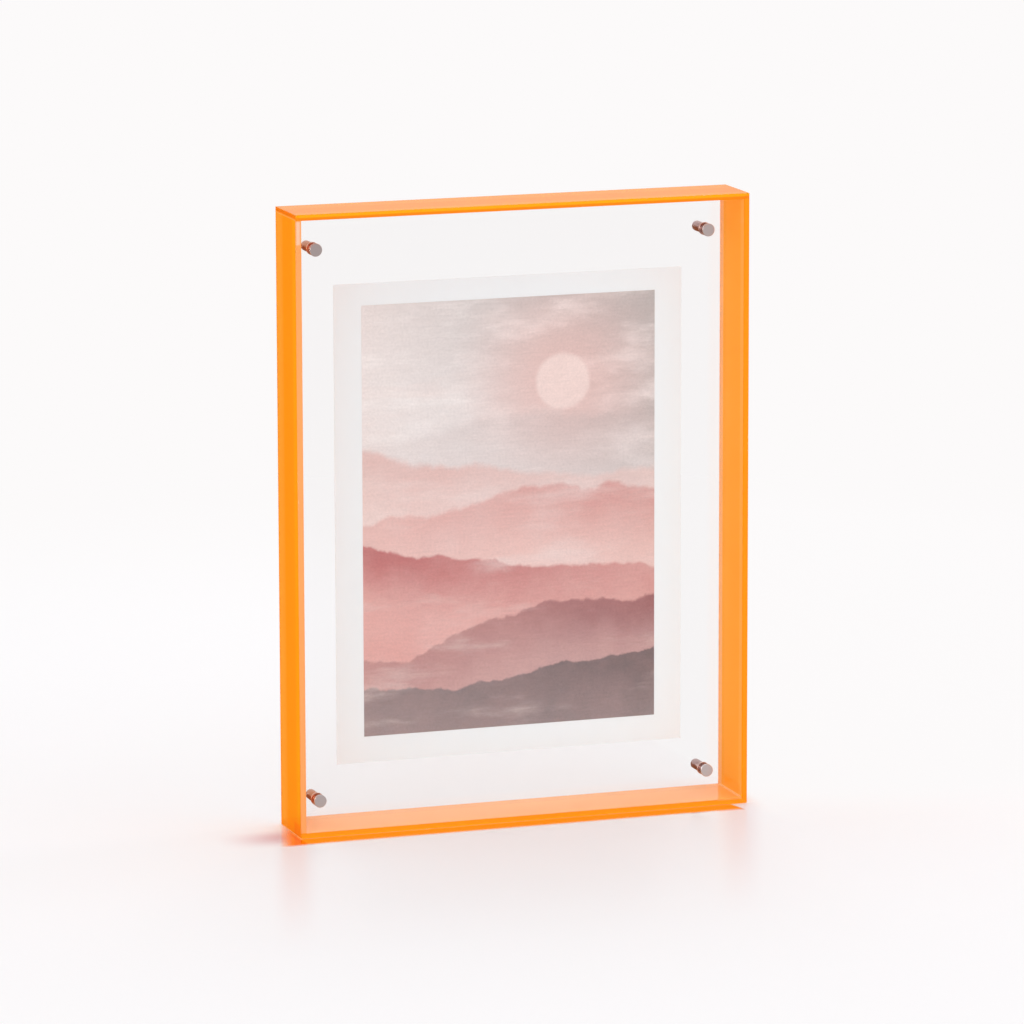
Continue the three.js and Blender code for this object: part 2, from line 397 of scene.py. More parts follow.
def acrylic_joint():
    """Solvent cement in a mitre: the two plates are one piece of acrylic to the eye, but for a faint line."""
    material, tree = new_material("Solvent_cement_in_mitre")
    whole, *_ = object_axes(tree)
    # Small bubbles and dry spots in the cement, about 1.5 mm across.
    spots = add(tree, "TexNoise", Vector=whole, Scale=1 / (1.5 * MM), Detail=2.0)
    amount = add(tree, "MapRange", spots, 0.4, 0.75, 0.03, 0.12)
    clear = add(tree, "BsdfTransparent", Color=linear("#FFFCF3"))
    milky = add(tree, "BsdfTranslucent", Color=linear("#FFB054"))
    add(tree, "OutputMaterial", Surface=add(tree, "MixShader", amount, clear, milky))
    return material


def clear_acrylic(settings):
    """Clear cast acrylic, polished: nearly all light goes through, and the rest is a sharp reflection."""
    material, tree = new_material("Clear_cast_acrylic")
    whole, *_ = object_axes(tree)
    # Wiping leaves faint smears, about 12 mm across.
    upright = add(tree, "Mapping", Vector=whole, Scale=(1.0, 1.0, 0.35))
    smears = add(tree, "TexNoise", Vector=upright, Scale=1 / (12 * MM), Detail=3.0)
    # Both faces of a pane reflect. The one that light enters by stands for the two.
    once = add(tree, "Fresnel", IOR=1.49)
    twice = once * 2.0 / (once + 1.0)
    inside = add(tree, "NewGeometry", output="Backfacing")
    # Anti-reflection treated sheet: less than half of the usual share comes back.
    share = twice * 0.4 * (1.0 - inside)
    clear = add(tree, "BsdfTransparent", Color=tuple(settings.tint))
    roughness = add(tree, "MapRange", smears, 0.3, 0.7, 0.01, 0.04)
    gloss = add(tree, "BsdfAnisotropic", Color=linear("#FFFFFF"), Roughness=roughness)
    add(tree, "OutputMaterial", Surface=add(tree, "MixShader", share, clear, gloss))
    return material


def satin_steel(settings):
    """Turned stainless steel, satin: fine rings from the lathe tool follow the profile."""
    material, tree = new_material("Turned_stainless_steel")
    round_it = add(tree, "SeparateXYZ", add(tree, "TexCoord", output="UV"))
    along_it = round_it.other("Y")
    # The second track coordinate is millimetres along the profile, where tool marks are 0.12 mm apart.
    mark_gap = 0.12
    rings = (along_it * (2 * np.pi / mark_gap)).sine()
    # Its streaks run a third of a turn and lie 1/60 mm apart, too fine to tell apart: they give a grain.
    flat_track = add(tree, "CombineXYZ", round_it, along_it, 0.0)
    drawn_out = add(tree, "Mapping", Vector=flat_track, Scale=(3.0, 60.0, 1.0))
    streaks = add(tree, "TexNoise", Vector=drawn_out, Scale=1.0, Detail=3.0)
    tone = add(tree, "MapRange", streaks, 0.3, 0.7, 0.0, 1.0)
    _, across, depth, up = object_axes(tree)
    # Painted light: behind the cap's disc the steel is painted a warm copper tone for the orange light of the
    # box, more so on the left.
    disc_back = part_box("cap_top_left")[0].y + CAP_DISC
    hidden = depth.rise(disc_back - 0.2 * MM, disc_back + 0.2 * MM)
    to_right = across.rise(-HALF_WIDTH, HALF_WIDTH)
    painted_orange_light = add(tree, "Mix", to_right, linear("#D88E64"), linear("#BC9C98"), settings=LAY)
    # Painted highlight: the rings are painted paler, as they catch more light than the necks and the barrels.
    ring_low, ring_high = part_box("ring_top_left")
    ring = depth.within((ring_low.y, ring_high.y), 0.1 * MM)
    painted_orange_light = add(tree, "Mix", ring * 0.7, painted_orange_light, linear("#F6DED2"), settings=LAY)
    # Painted light: the flats are painted a shade lighter towards the lower right.
    lower = (across - up * 0.6).rise(-0.38, 0.13)
    flat = add(tree, "Mix", lower, linear("#BCB0AE"), linear("#F6F1F2"), settings=LAY)
    flat = add(tree, "Mix", 0.5, flat, settings.steel_colour, settings=LAY)
    colour = add(tree, "Mix", hidden, flat, painted_orange_light, settings=LAY)
    colour = add(tree, "Mix", tone * 0.25, colour, linear("#8C8482"), settings=MULTIPLY)
    shader = add(
        tree,
        "BsdfPrincipled",
        Base_Color=colour,
        Metallic=1.0,
        Roughness=add(tree, "MapRange", streaks, 0.3, 0.7, 0.24, 0.36),
        Normal=add(tree, "Bump", Strength=0.25, Distance=0.004 * MM, Height=rings),
    )
    add(tree, "OutputMaterial", Surface=shader)
    return material


def threaded_steel():
    """Rolled thread of plain steel: duller than the caps, and darker in the roots than on the crests."""
    material, tree = new_material("Rolled_steel_thread")
    track = add(tree, "TexCoord", output="UV")
    # The second track coordinate is 0 in the root of the thread and 1 on its crest.
    crest = add(tree, "SeparateXYZ", track, output="Y")
    colour = add(tree, "Mix", crest, linear("#5C5652"), linear("#B9B1AC"), settings=LAY)
    whole, *_ = object_axes(tree)
    grain = add(tree, "TexNoise", Vector=whole, Scale=1 / (0.15 * MM), Detail=2.0)
    roughness = add(tree, "MapRange", grain, 0.3, 0.7, 0.28, 0.45)
    shader = add(tree, "BsdfPrincipled", Base_Color=colour, Metallic=1.0, Roughness=roughness)
    add(tree, "OutputMaterial", Surface=shader)
    return material


def black_rubber():
    """Black rubber washer: matt, with the fine grain of a stamped sheet."""
    material, tree = new_material("Black_rubber_sheet")
    whole, *_ = object_axes(tree)
    grain = add(tree, "TexNoise", Vector=whole, Scale=1 / (0.2 * MM), Detail=3.0)
    colour = add(tree, "Mix", grain, linear("#171515"), linear("#2A2626"), settings=LAY)
    bump = add(tree, "Bump", Strength=0.3, Distance=0.02 * MM, Height=grain)
    shader = add(tree, "BsdfPrincipled", Base_Color=colour, Roughness=0.6, Normal=bump)
    add(tree, "OutputMaterial", Surface=shader)
    return material


def paper_surface(tree, colour, roughness, height, relief):
    """Matt paper or board, linked to the material's output: a weak gloss and a bump of a shallow relief."""
    bump = add(tree, "Bump", Strength=0.1, Distance=relief, Height=height)
    shader = add(
        tree,
        "BsdfPrincipled",
        Base_Color=colour,
        Roughness=roughness,
        Specular_IOR_Level=0.3,
        Normal=bump,
    )
    add(tree, "OutputMaterial", Surface=shader)


def museum_card(settings):
    """Matt off-white card: felt side of a rag board, with fibres and a soft mottle."""
    material, tree = new_material("Rag_mounting_card")
    whole, across, depth, up = object_axes(tree)
    low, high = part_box("mount_card")
    # Fibres are drawn 2 mm wide, coarser than they are, so that they show; the mottle is 25 mm across.
    drawn_out = add(tree, "Mapping", Vector=whole, Scale=(1.0, 1.0, 0.3))
    fibres = add(tree, "TexNoise", Vector=drawn_out, Scale=1 / (2 * MM), Detail=2.0)
    mottle = add(tree, "TexNoise", Vector=whole, Scale=1 / (25 * MM), Detail=2.0)
    tone = fibres * 0.6 + mottle * 0.4
    dimmer = tuple(c * k for c, k in zip(settings.card_colour[:3], (0.95, 0.94, 0.94))) + (1.0,)
    colour = add(tree, "Mix", tone, dimmer, settings.card_colour, settings=LAY)
    # Painted shade: the board is painted a little darker towards the upper left.
    painted_card_shade = (high.x - across) / (high.x - low.x) + (up - low.z) / (high.z - low.z)
    colour = add(tree, "Mix", painted_card_shade * 0.5, colour, linear("#F4F1F1"), settings=MULTIPLY)
    # The back of the board is plain grey pulp.
    pulp = add(tree, "Mix", tone, linear("#D9D4CE"), linear("#ECE8E3"), settings=LAY)
    back = depth.rise((low.y + high.y) / 2, high.y)
    colour = add(tree, "Mix", back, colour, pulp, settings=LAY)
    paper_surface(tree, colour, 0.85, fibres, 0.03 * MM)
    return material


EVEN = (1.0, 1.0, 1.0)

# Blotches in the printed design: the size of the largest, how fine they go, and a scale for each axis,
# where less than 1 draws them out. The last two are coarser than on real paper, so that they show.
BLOTCHES = {
    "bleed": dict(size=6 * MM, detail=4.0, roughness=0.5, scale=EVEN),
    "run_across": dict(size=18 * MM, detail=6.0, roughness=0.6, scale=EVEN),
    "run_up": dict(size=18 * MM, detail=6.0, roughness=0.6, scale=(1.3, 1.0, 0.8)),
    "wisps": dict(size=60 * MM, detail=6.0, roughness=0.62, scale=(1.0, 1.0, 3.0)),
    "wash": dict(size=50 * MM, detail=6.0, roughness=0.62, scale=EVEN),
    "mist": dict(size=45 * MM, detail=5.0, roughness=0.55, scale=(0.5, 1.0, 2.2)),
    "tooth": dict(size=1.6 * MM, detail=1.0, roughness=0.6, scale=EVEN),
    "brush": dict(size=1.6 * MM, detail=1.0, roughness=0.6, scale=(0.12, 1.0, 1.0)),
}

# The ridges of the printed design, from the farthest to the nearest, in print heights. waves is how many
# swells the crest has, and seed where its noise starts. Ink thins out to one side: heavy is 1 where the
# right is the strong side and -1 where the left is.
RIDGES = (
    dict(height=0.73, rise=0.20, waves=2.1, seed=1.7, lean=0.06, detail=3.0, soft=0.030, fade=0.24,
         heavy=1.0, cover=0.50, crest="#BFAFAD", foot="#E0D5D3", light="#E9DEDC"),
    dict(height=0.63, rise=0.26, waves=1.6, seed=5.2, lean=-0.13, detail=3.5, soft=0.022, fade=0.22,
         heavy=-1.0, cover=0.72, crest="#DBA49B", foot="#EED0C9", light="#F1DDD8"),
    dict(height=0.52, rise=0.24, waves=2.3, seed=9.4, lean=0.16, detail=4.0, soft=0.015, fade=0.20,
         heavy=1.0, cover=0.80, crest="#CB7B75", foot="#E8BAB2", light="#EFCDC6"),
    dict(height=0.39, rise=0.22, waves=1.8, seed=13.1, lean=-0.12, detail=4.5, soft=0.010, fade=0.18,
         heavy=-1.0, cover=0.88, crest="#B04A4E", foot="#DCA09A", light="#E4AFA8"),
    dict(height=0.26, rise=0.18, waves=2.7, seed=17.6, lean=0.15, detail=5.0, soft=0.008, fade=0.16,
         heavy=1.0, cover=0.88, crest="#8E5458", foot="#BC9A99", light="#D3A9A4"),
    dict(height=0.12, rise=0.17, waves=2.2, seed=22.3, lean=0.10, detail=5.5, soft=0.006, fade=0.20,
         heavy=1.0, cover=0.92, crest="#585254", foot="#8B8384", light="#A89C9C"),
)


def ridge_layer(tree, across, up, wash, below, layer):
    """Lays one misty ridge over what is below it, by the height of its crest along the width."""
    roll = add(tree, "CombineXYZ", across * layer["waves"], layer["seed"])
    swell = add(tree, "TexNoise", Vector=roll, Scale=1.0, Detail=layer["detail"], Roughness=0.45)
    crest = (swell - 0.5) * layer["rise"] + across * layer["lean"] + layer["height"]
    depth = crest - up
    # Ink is strongest just under the crest and thins out downwards, as mist does in a valley.
    fade = depth.rise(0.0, layer["fade"])
    ink = add(tree, "Mix", fade, linear(layer["crest"]), linear(layer["foot"]), settings=LAY)
    # Ink thins out to one side of the sheet, and pools unevenly where the wash was wet.
    thin = add(tree, "Mix", 0.55, ink, linear(layer["light"]), settings=LAY)
    ink = add(tree, "Mix", (across * layer["heavy"]).rise(-0.45, 0.45), thin, ink, settings=LAY)
    pooled = add(tree, "MapRange", wash, 0.3, 0.7, 0.72, 1.0)
    strength = depth.rise(0.0, layer["soft"]) * layer["cover"] * pooled
    return add(tree, "Mix", strength, below, ink, settings=LAY)


def art_print(settings):
    """Pigment print on matt art paper: six misty ridges under a pale sky with a low sun, a generic design."""
    material, tree = new_material("Pigment_print_on_art_paper")
    whole, across, _, up = object_axes(tree)
    low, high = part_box("photo_print")
    ink = {}
    for name, kind in BLOTCHES.items():
        ink[name] = add(
            tree,
            "TexNoise",
            Vector=add(tree, "Mapping", Vector=whole, Scale=kind["scale"]),
            Scale=1 / kind["size"],
            Detail=kind["detail"],
            Roughness=kind["roughness"],
        )
    # Across and up are counted in print heights, from the middle and from the lower edge.
    across = across / (high.z - low.z)
    up = (up - low.z) / (high.z - low.z)
    # The sun stands right of the middle, a pale disc with a wide halo.
    reach = ((across - 0.13) ** 2.0 + (up - 0.80) ** 2.0) ** 0.5 + (ink["bleed"] - 0.5) * 0.008
    # Wet ink runs a little, so every outline is carried about.
    across = across + (ink["run_across"] - 0.5) * 0.05
    up = up + (ink["run_up"] - 0.5) * 0.035
    clouded = (up * 0.6 + across * 0.8).rise(0.15, 0.85)
    sky = add(tree, "Mix", clouded, linear("#E9E0DE"), settings.sky_colour, settings=LAY)
    sky = add(tree, "Mix", ink["wisps"].rise(0.42, 0.78), sky, linear("#F0EAE8"), settings=LAY)
    halo = 1.0 - reach.rise(0.04, 0.30)
    sky = add(tree, "Mix", halo * 0.6, sky, linear("#EBBDB5"), settings=LAY)
    disc = 1.0 - reach.rise(0.058, 0.072)
    colour = add(tree, "Mix", disc * 0.6, sky, linear("#F6E2DC"), settings=LAY)
    for layer in RIDGES:
        colour = ridge_layer(tree, across, up, ink["wash"], colour, layer)
    # Mist lies in the valleys, in long soft banks.
    colour = add(tree, "Mix", ink["mist"].rise(0.5, 0.75) * 0.5, colour, linear("#EBDAD6"), settings=LAY)
    # Pigment settles in the tooth of the paper, and the brush leaves streaks that run nearly level.
    settled = add(tree, "MapRange", ink["tooth"], 0.3, 0.7, 0.95, 1.04)
    brushed = add(tree, "MapRange", ink["brush"], 0.25, 0.75, 0.965, 1.03)
    for shade in (settled, brushed):
        grey = add(tree, "CombineColor", shade, shade, shade)
        colour = add(tree, "Mix", 1.0, colour, grey, settings=MULTIPLY)
    paper_surface(tree, colour, 0.7, ink["tooth"], 0.02 * MM)
    return material


# Meshes


def new_piece(name, vertices, faces, smooth=None, slots=None, uvs=None):
    """Puts arrays into a mesh object. For each face, smooth says if it is, and slots gives its material."""
    mesh = bpy.data.meshes.new(name)
    mesh.from_pydata(np.asarray(vertices, float).tolist(), [], faces)
    mesh.polygons.foreach_set("use_smooth", np.zeros(len(faces), bool) if smooth is None else smooth)
    if slots is not None:
        mesh.polygons.foreach_set("material_index", slots)
    if uvs is not None:
        mesh.uv_layers.new(name="track").data.foreach_set("uv", np.asarray(uvs, np.float32).ravel())
    mesh.update()
    piece = bpy.data.objects.new(name, mesh)
    bpy.context.scene.collection.objects.link(piece)
    return piece


def dress(piece, body, node, slot, *materials):
    """Gives a piece its materials and its body, and hides the CAD node that it stands for. slot is not used.
    """
    for material in materials:
        piece.data.materials.append(material)
    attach(piece, body)
    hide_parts(node)


def merge_poles(piece):
    """Joins the points of a grid row that has shrunk to one place, and turns every face outwards."""
    shape = bmesh.new()
    shape.from_mesh(piece.data)
    bmesh.ops.remove_doubles(shape, verts=shape.verts, dist=0.0005 * MM)
    bmesh.ops.recalc_face_normals(shape, faces=shape.faces)
    shape.to_mesh(piece.data)
    shape.free()


def sharpen(piece, angle=35.0):
    """Keeps edges sharp where two faces meet at more than the angle, and flat faces flat."""
    faces = piece.data.polygons
    smooth = np.zeros(len(faces), bool)
    faces.foreach_get("use_smooth", smooth)
    piece.data.set_sharp_from_angle(angle=np.radians(angle))
    faces.foreach_set("use_smooth", smooth)


def rounded_section(half_width, half_height, radius, steps):
    """Points round a rectangle with round corners, anticlockwise, and which stretches are round.

    Each corner is a quarter circle: its centre plus radius times (cos, sin) of an angle that runs
    through 90 degrees in equal steps. The last point joins the first.
    """
    angles = np.linspace(0, np.pi / 2, steps + 1)
    centre = np.array([half_width - radius, half_height - radius])
    points, is_round = [], []
    for turn, signs in enumerate(((1, 1), (-1, 1), (-1, -1), (1, -1))):
        turned = angles + turn * np.pi / 2
        points.append(centre * signs + radius * np.stack([np.cos(turned), np.sin(turned)], 1))
        is_round += [True] * steps + [False]
    return np.concatenate(points), np.array(is_round)


def mitred_plate(name, box, inward, settings):
    """A plate: a rounded section carried along its length, with ends cut at 45 degrees.

    inward is the direction from the outer face to the inside. A section point lies w behind the
    outer face, and the plate there runs from one outer corner plus w to the other less w.
    """
    low, high = np.array(box[0]), np.array(box[1])
    inward = np.array(inward, float)
    thin = int(np.argmax(np.abs(inward)))
    long = 2 - thin
    half_thickness = (high[thin] - low[thin]) / 2
    section, is_round = rounded_section(
        (high[1] - low[1]) / 2, half_thickness, settings.edge_radius, settings.edge_steps
    )
    count = len(section)
    behind = section[:, 1] + half_thickness
    outer = low[thin] if inward[thin] > 0 else high[thin]
    rings = []
    for end, sign in ((low[long], 1), (high[long], -1)):
        ring = np.zeros((count, 3))
        ring[:, 1] = section[:, 0] + (high[1] + low[1]) / 2
        ring[:, thin] = outer + inward[thin] * behind
        ring[:, long] = end + sign * behind
        rings.append(ring)
    step = np.arange(count)
    after = (step + 1) % count
    sides = np.stack([step, after, after + count, step + count], 1)
    ends = [list(range(count))[::-1], list(range(count, 2 * count))]
    faces = sides.tolist() + ends
    mirrored = (inward[thin] < 0) == (thin == 2)
    if mirrored:
        faces = [face[::-1] for face in faces]
    # The two cut ends are flat and carry the second material, the cement.
    smooth = np.concatenate([is_round, [False, False]])
    slots = np.concatenate([np.zeros(count, int), [1, 1]])
    return new_piece(name, np.concatenate(rings), faces, smooth, slots)


def hole_ring(x, z, radius, steps):
    """A circle in the XZ plane, anticlockwise seen from the front."""
    angles = np.arange(steps) * 2 * np.pi / steps
    return np.stack([x + radius * np.cos(angles), z + radius * np.sin(angles)], 1)


def drilled_pane(name, box, holes, hole_radius, settings):
    """A clear pane: its outline and holes carried through its thickness with eased edges.

    Each edge is a quarter circle of the easing radius at the front and at the back: a point on it
    lies r(1 - sin a) inside the wall and r(1 - cos a) behind the face.
    """
    low, high = box
    ease = settings.edge_radius
    ease_steps = 3
    corner_steps = 6
    least_radius = 0.02 * MM
    angles = np.linspace(0, np.pi / 2, ease_steps + 1)
    inset = ease * (1 - np.sin(angles))
    behind = ease * (1 - np.cos(angles))
    insets = np.concatenate([inset, inset[::-1]])
    depths = np.concatenate([low.y + behind, high.y - behind[::-1]])

    def rim(inset_by):
        """The outline, anticlockwise seen from the front, and the hole rings, moved inwards by one inset."""
        radius = max(settings.corner_radius - inset_by, least_radius)
        half_width, half_height = (high.x - low.x) / 2 - inset_by, (high.z - low.z) / 2 - inset_by
        outline, _ = rounded_section(half_width, half_height, radius, corner_steps)
        outline[:, 1] += (high.z + low.z) / 2
        return [outline] + [hole_ring(x, z, hole_radius + inset_by, settings.hole_steps) for x, z in holes]

    levels = [rim(value) for value in insets]
    loops = [len(loop) for loop in levels[0]]
    starts = np.concatenate([[0], np.cumsum(loops)])
    per_level = int(starts[-1])
    vertices = np.zeros((len(levels) * per_level, 3))
    for index, (level, depth) in enumerate(zip(levels, depths)):
        flat = np.concatenate(level)
        rows = slice(index * per_level, (index + 1) * per_level)
        vertices[rows, 0], vertices[rows, 1], vertices[rows, 2] = flat[:, 0], depth, flat[:, 1]
    faces = []
    for index in range(len(levels) - 1):
        for loop, (start, count) in enumerate(zip(starts[:-1], loops)):
            step = np.arange(count)
            after = (step + 1) % count
            here, there = index * per_level + start, (index + 1) * per_level + start
            walls = np.stack([here + step, here + after, there + after, there + step], 1)
            is_outline = loop == 0
            faces += (walls[:, ::-1] if is_outline else walls).tolist()
    round_faces = len(faces)
    # Both faces are filled by triangles between the outline and the holes.
    front = [[Vector((x, z, 0)) for x, z in loop] for loop in levels[0]]
    triangles = np.array(tessellate_polygon(front))
    corners = np.concatenate(levels[0])[triangles]
    first, second = corners[:, 1] - corners[:, 0], corners[:, 2] - corners[:, 0]
    area = first[:, 0] * second[:, 1] - first[:, 1] * second[:, 0]
    triangles[area < 0] = triangles[area < 0][:, ::-1]
    last = (len(levels) - 1) * per_level
    faces += triangles.tolist() + (triangles[:, ::-1] + last).tolist()
    return new_piece(name, vertices, faces, np.arange(len(faces)) < round_faces)


def quad_grid(rows, next_rows, steps):
    """Faces between rows of points that close on themselves, each row with the one after it."""
    step = np.arange(steps)
    after = (step + 1) % steps
    here, there = rows[:, None] * steps, next_rows[:, None] * steps
    return np.stack([here + step, here + after, there + after, there + step], 2).reshape(-1, 4)


def round_axis(centre, radius, depth, turn):
    """Points round an axis along Y: centre plus (r cos a, y, r sin a), where a is turn full turns."""
    angle = 2 * np.pi * turn
    across = centre[0] + radius * np.cos(angle)
    up = centre[1] + radius * np.sin(angle)
    return np.stack([across, np.broadcast_to(depth, across.shape), up], 2).reshape(-1, 3)


def turned_piece(name, profile, centre, steps, closed):
    """A turned piece with its axis along Y.

    A point is centre plus (r cos a, y, r sin a), where (r, y) follows the profile and a goes once
    round. A profile that starts and ends on the axis has its poles joined; a closed one is a ring.
    """
    profile = np.asarray(profile, float)
    count = len(profile)
    step = np.arange(steps)
    grid = round_axis(centre, profile[:, :1], profile[:, 1:], step / steps)
    rows = np.arange(count if closed else count - 1)
    next_rows = (rows + 1) % count
    quads = quad_grid(rows, next_rows, steps)
    # The track runs round the piece in turns, and along its profile in millimetres.
    lengths = np.linalg.norm(np.diff(profile, axis=0), axis=1)
    along = np.concatenate([[0], np.cumsum(lengths)]) / MM
    ends = np.append(along[1:], along[-1]) if closed else along[next_rows]
    u = np.tile(np.stack([step, step + 1, step + 1, step], 1) / steps, (len(rows), 1))
    v = np.repeat(np.stack([along[rows], along[rows], ends, ends], 1), steps, axis=0)
    # A stretch of the profile at one depth turns into a flat face.
    sloped = np.abs(profile[next_rows, 1] - profile[rows, 1]) > 0.001 * MM
    smooth = np.repeat(sloped, steps)
    uvs = np.stack([u, v], 2).reshape(-1, 2)
    piece = new_piece(name, grid, quads.tolist(), smooth, None, uvs)
    merge_poles(piece)
    sharpen(piece)
    return piece


def threaded_stud(name, box, centre, settings):
    """A stud with a real thread, inside its CAD box.

    The radius at depth y and angle a is the root radius plus the thread's depth times a trapezoid
    wave of (y / pitch + a / full turn), faded to the root over half a pitch at both ends.
    """
    low, high = box
    root = (high.x - low.x) / 2 - settings.thread_depth
    steps = 48
    per_pitch = 12
    rows = int((high.y - low.y) / settings.thread_pitch * per_pitch) + 1
    depth = np.linspace(low.y, high.y, rows)[:, None]
    around = np.arange(steps)
    phase = (depth / settings.thread_pitch + around / steps) % 1.0
    # The wave's flanks are steep enough to leave a flat crest and a flat root.
    flank, cut = 2.2, 0.45
    tooth = np.clip(flank * (1 - np.abs(2 * phase - 1)) - cut, 0, 1)
    run_in = 0.5 * settings.thread_pitch
    tooth = tooth * np.clip(np.minimum(depth - low.y, high.y - depth) / run_in, 0, 1)
    wall = round_axis(centre, root + settings.thread_depth * tooth, depth, around / steps)
    poles = np.array([[centre[0], low.y, centre[1]], [centre[0], high.y, centre[1]]])
    vertices = np.concatenate([wall, poles])
    quads = quad_grid(np.arange(rows - 1), np.arange(1, rows), steps)
    beyond = (around + 1) % steps
    front_pole, back_pole = rows * steps, rows * steps + 1
    last = (rows - 1) * steps
    front = np.stack([np.full(steps, front_pole), beyond, around], 1)
    back = np.stack([np.full(steps, back_pole), last + around, last + beyond], 1)
    faces = quads.tolist() + front.tolist() + back.tolist()
    # The track runs along the stud in millimetres, and from the root to the crest.
    crest_share = np.concatenate([tooth.ravel(), [0.5, 0.5]])
    corners = np.concatenate([quads.ravel(), front.ravel(), back.ravel()])
    uvs = np.stack([vertices[corners, 1] / MM, crest_share[corners]], 1)
    piece = new_piece(name, vertices, faces, np.ones(len(faces), bool), None, uvs)
    merge_poles(piece)
    return piece


# Turned profiles, as (radius, depth) points worked out from the CAD boxes


def arc(centre, radius, start, end, steps):
    """Points of a circular arc in the (radius, depth) plane; angles are in degrees."""
    angles = np.radians(np.linspace(start, end, steps + 1))
    return np.stack([centre[0] + radius * np.cos(angles), centre[1] + radius * np.sin(angles)], 1)


def cap_profile(box):
    """The cap: a flat disc with a rounded rim on a thinner neck, bored from behind for the stud."""
    low, high = box
    disc = (high.x - low.x) / 2
    front, back = low.y, high.y
    disc_back = front + CAP_DISC
    rim, back_rim, fillet, neck_rim = 0.3 * MM, 0.1 * MM, 0.15 * MM, 0.12 * MM
    return np.concatenate([
        [[0, front]],
        arc((disc - rim, front + rim), rim, -90, 0, 6),
        arc((disc - back_rim, disc_back - back_rim), back_rim, 0, 90, 3),
        [[CAP_NECK + fillet, disc_back]],
        arc((CAP_NECK + fillet, disc_back + fillet), fillet, -90, -180, 3),
        arc((CAP_NECK - neck_rim, back - neck_rim), neck_rim, 0, 90, 3),
        [[BORE, back], [BORE, front + CAP_FLOOR], [0, front + CAP_FLOOR]],
    ])


def ring_profile(box):
    """The steel ring: a flat ring with both outer rims rounded."""
    low, high = box
    outer = (high.x - low.x) / 2
    rim = 0.2 * MM
    return np.concatenate([
        [[BORE, low.y]],
        arc((outer - rim, low.y + rim), rim, -90, 0, 4),
        arc((outer - rim / 2, high.y - rim / 2), rim / 2, 0, 90, 3),
        [[BORE, high.y]],
    ])


def pad_profile(box):
    """The rubber washer: its outer edge bulges a little where the screw squeezes it."""
    low, high = box
    outer = (high.x - low.x) / 2
    half = (high.y - low.y) / 2
    bulge = arc((outer - half, low.y + half), half, -80, 80, 6)
    return np.concatenate([[[BORE, low.y]], bulge, [[BORE, high.y]]])


def barrel_profile(box):
    """The barrel: a plain tube with a broken edge at the front and its back rim rounded."""
    low, high = box
    outer = (high.x - low.x) / 2
    edge, rim = 0.1 * MM, 0.4 * MM
    return np.concatenate([
        [[BORE, low.y]],
        arc((outer - edge, low.y + edge), edge, -90, 0, 3),
        arc((outer - rim, high.y - rim), rim, 0, 90, 6),
        [[BORE, high.y]],
    ])


def standoff_centre(corner):
    """The (x, z) of a standoff's axis, from its cap."""
    low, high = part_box("cap_" + corner)
    return (low.x + high.x) / 2, (low.z + high.z) / 2


# The stage


def floor_polish(across, in_front, beside):
    """Where the floor mirrors the foot of the frame: 1 there and 0 elsewhere.

    The polish covers the places whose mirror image is the front edge or the left face, for a view from
    the front on the left: there an image runs from its place towards the camera, forwards and to the left.
    """
    reached = 1.0 - in_front.rise(12 * MM, 21 * MM)
    # On the right, the polish ends a little before the corner, on a slant.
    before_right = (across - in_front * 0.22).rise(HALF_WIDTH - 10 * MM, HALF_WIDTH - 13 * MM)
    # To the left, the image of the left face ends where a ray passes its back edge.
    arrives = beside / LEFT_LEAN - in_front - HALF_DEPTH
    before_back = arrives.rise(HALF_DEPTH + 16 * MM, HALF_DEPTH - 30 * MM)
    # Under the frame and behind it there is none.
    in_view = in_front.rise(-0.5 * MM, 0.0).at_least(beside.rise(-0.5 * MM, 0.0))
    # A satin floor mirrors well only at a low angle.
    facing = add(across.tree, "LayerWeight", Blend=0.5, output="Facing")
    return reached * in_view * before_right * before_back * facing.rise(0.45, 0.75)


def floor_painted_light(across, in_front, beside):
    """Painted shadow and reflection on the floor, pink for light that has gone through the acrylic.

    A painted shadow lies left of the base, and a painted reflection runs in a streak towards the camera from
    each front corner.
    """
    painted_light = beside.rise(60 * MM, 0.0) * beside.rise(-0.5 * MM, 0.0)
    painted_light = painted_light * in_front.within((-22 * MM, 6 * MM), 26 * MM)
    for corner, lean in ((-HALF_WIDTH, LEFT_LEAN), (HALF_WIDTH, RIGHT_LEAN)):
        off_streak = abs(across + in_front * lean - (corner - 4 * MM))
        streak = off_streak.rise(18 * MM, 3 * MM) * in_front.rise(-0.5 * MM, 0.0)
        painted_light = painted_light + streak * in_front.rise(320 * MM, 0.0) * 0.2
    return painted_light


